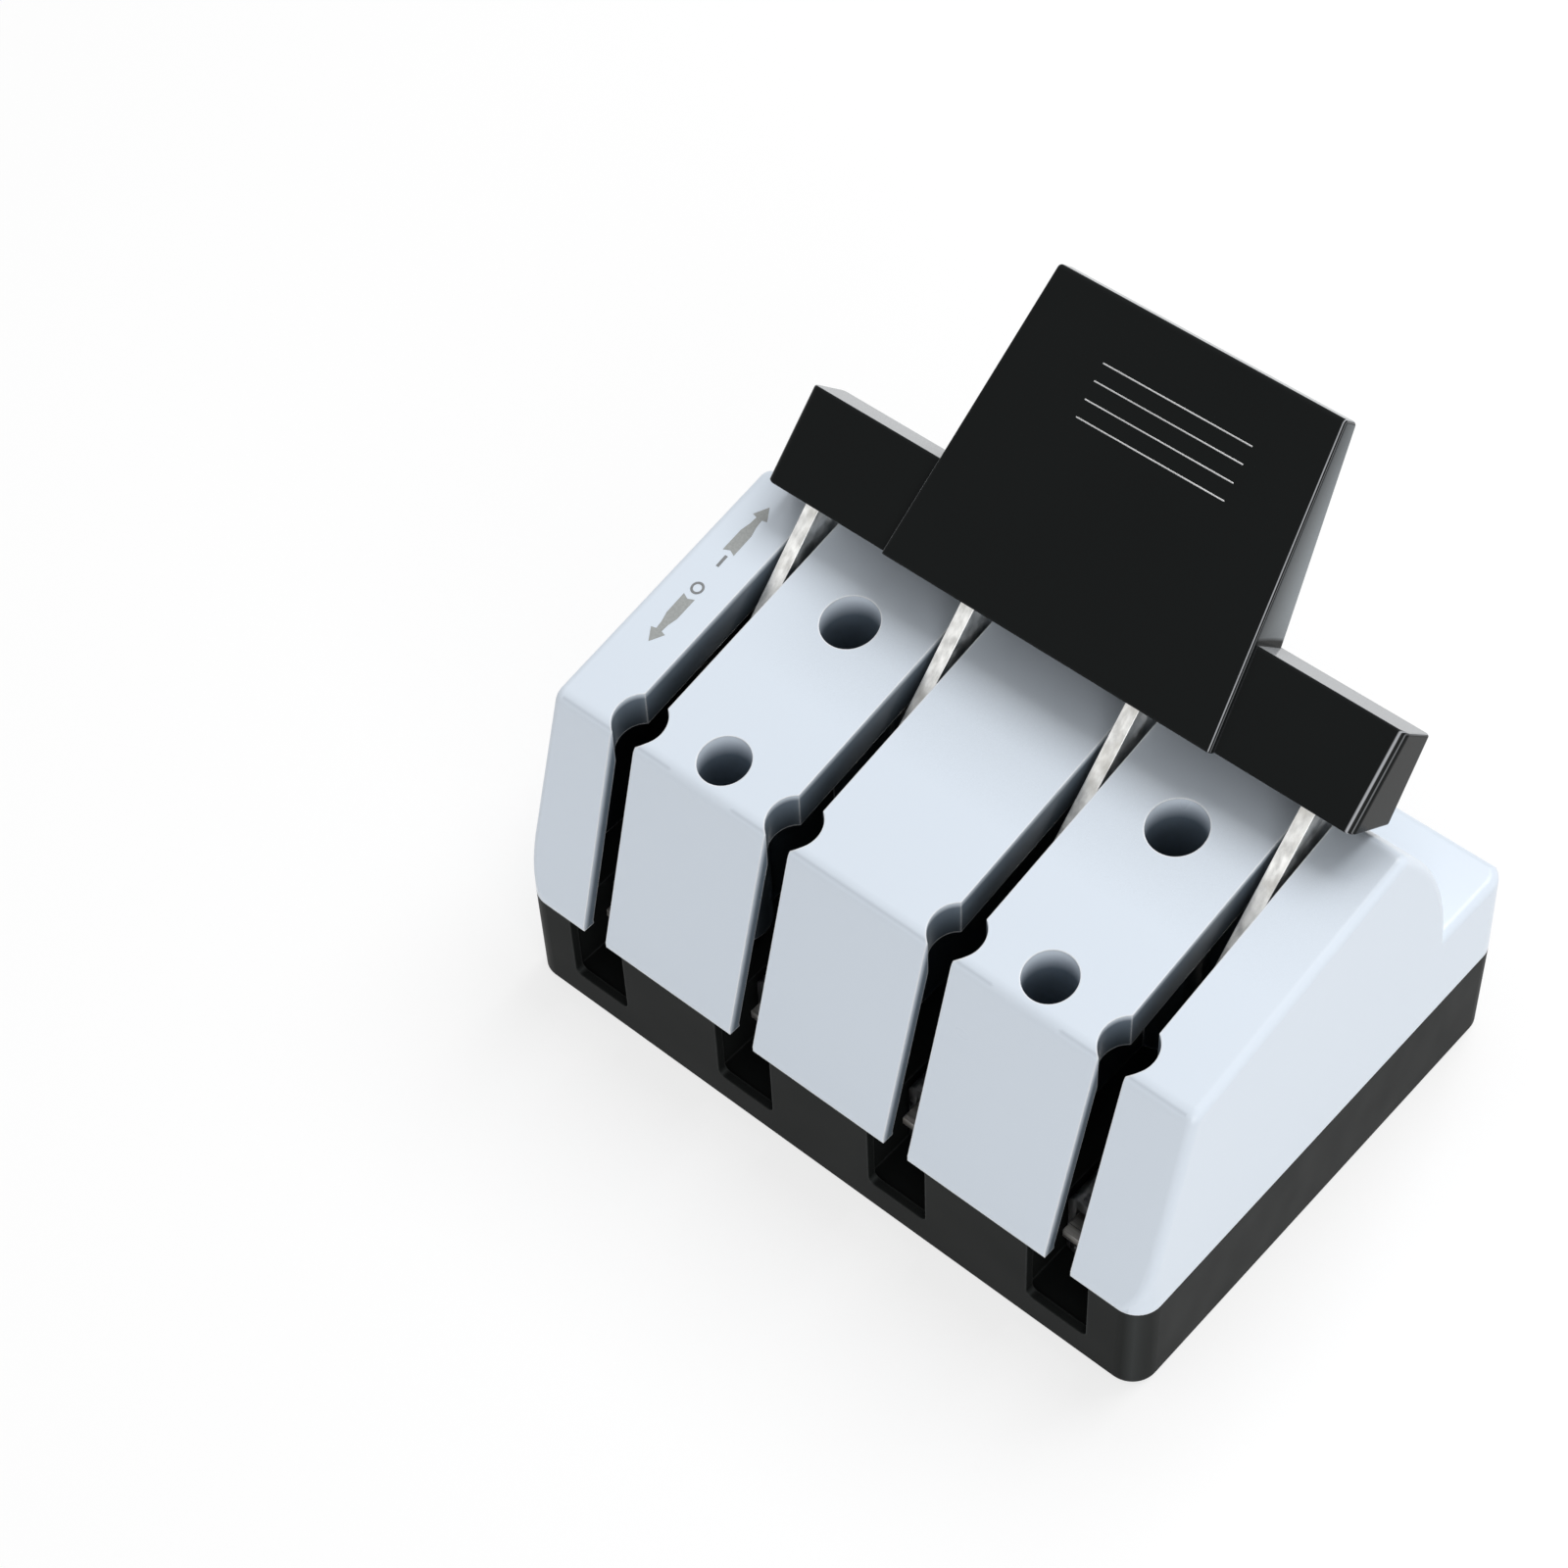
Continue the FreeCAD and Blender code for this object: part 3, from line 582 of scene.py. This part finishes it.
FLOOR_HALF = 6.0
FLOOR_CELLS = 8
FLOOR_DROP = 0.00005
FLOOR_SHOWN = 0.30
FLOOR_GLOW = 0.715
FLOOR_LIT = 0.86
WORLD_LEVEL = 0.47
LAMP_TARGET = (0.0, 0.0, 0.04)
# Each lamp's name, place, size and power.
LAMPS = (("key", (0.06, 0.50, 0.96), 0.6, 6.2),
         ("side", (0.85, -0.60, 0.40), 0.7, 3.3))


def seen_directly(tree):
    """One for rays from the camera, or that a mirror or glass sends on, and zero for all others."""
    path = tree.nodes.new("ShaderNodeLightPath")
    total = path.outputs["Is Camera Ray"]
    for kind in ("Is Glossy Ray", "Is Transmission Ray"):
        added = tree.nodes.new("ShaderNodeMath")
        added.operation = "ADD"
        added.use_clamp = True
        tree.links.new(total, added.inputs[0])
        tree.links.new(path.outputs[kind], added.inputs[1])
        total = added.outputs["Value"]
    return total


def matt_grey(tree, level):
    shader = tree.nodes.new("ShaderNodeBsdfDiffuse")
    shader.inputs["Color"].default_value = (level, level, level, 1.0)
    return shader.outputs["BSDF"]


def make_floor():
    mesh = bpy.data.meshes.new("floor")
    shape = bmesh.new()
    bmesh.ops.create_grid(shape, x_segments=FLOOR_CELLS, y_segments=FLOOR_CELLS, size=FLOOR_HALF)
    shape.to_mesh(mesh)
    shape.free()
    floor = bpy.data.objects.new("floor", mesh)
    floor.location.z = -FLOOR_DROP
    bpy.context.scene.collection.objects.link(floor)

    material = bpy.data.materials.new("floor_white")
    material.use_nodes = True
    tree = material.node_tree
    tree.nodes.clear()
    glow = tree.nodes.new("ShaderNodeEmission")
    glow.inputs["Strength"].default_value = FLOOR_GLOW
    shown = tree.nodes.new("ShaderNodeAddShader")
    tree.links.new(matt_grey(tree, FLOOR_SHOWN), shown.inputs[0])
    tree.links.new(glow.outputs["Emission"], shown.inputs[1])
    choice = tree.nodes.new("ShaderNodeMixShader")
    tree.links.new(seen_directly(tree), choice.inputs["Fac"])
    tree.links.new(matt_grey(tree, FLOOR_LIT), choice.inputs[1])
    tree.links.new(shown.outputs["Shader"], choice.inputs[2])
    out = tree.nodes.new("ShaderNodeOutputMaterial")
    tree.links.new(choice.outputs["Shader"], out.inputs["Surface"])
    mesh.materials.append(material)


def make_world():
    world = bpy.data.worlds.new("studio")
    world.use_nodes = True
    bpy.context.scene.world = world
    tree = world.node_tree
    background = tree.nodes["Background"]
    background.inputs["Color"].default_value = (1.0, 1.0, 1.0, 1.0)
    strength = tree.nodes.new("ShaderNodeMapRange")
    strength.inputs["To Min"].default_value = WORLD_LEVEL
    strength.inputs["To Max"].default_value = 1.0
    tree.links.new(seen_directly(tree), strength.inputs["Value"])
    tree.links.new(strength.outputs["Result"], background.inputs["Strength"])


def make_lamp(name, place, size, power):
    data = bpy.data.lights.new(name, "AREA")
    data.shape = "SQUARE"
    data.size = size
    data.energy = power
    lamp = bpy.data.objects.new(name, data)
    lamp.location = place
    way = Vector(LAMP_TARGET) - Vector(place)
    lamp.rotation_euler = way.to_track_quat("-Z", "Y").to_euler()
    bpy.context.scene.collection.objects.link(lamp)


bpy.context.scene.view_settings.view_transform = "Standard"
make_camera()
finishes = make_materials()
dress_nodes(finishes)
make_marks(finishes)
make_ribs(finishes)
make_floor()
make_world()
for lamp in LAMPS:
    make_lamp(*lamp)
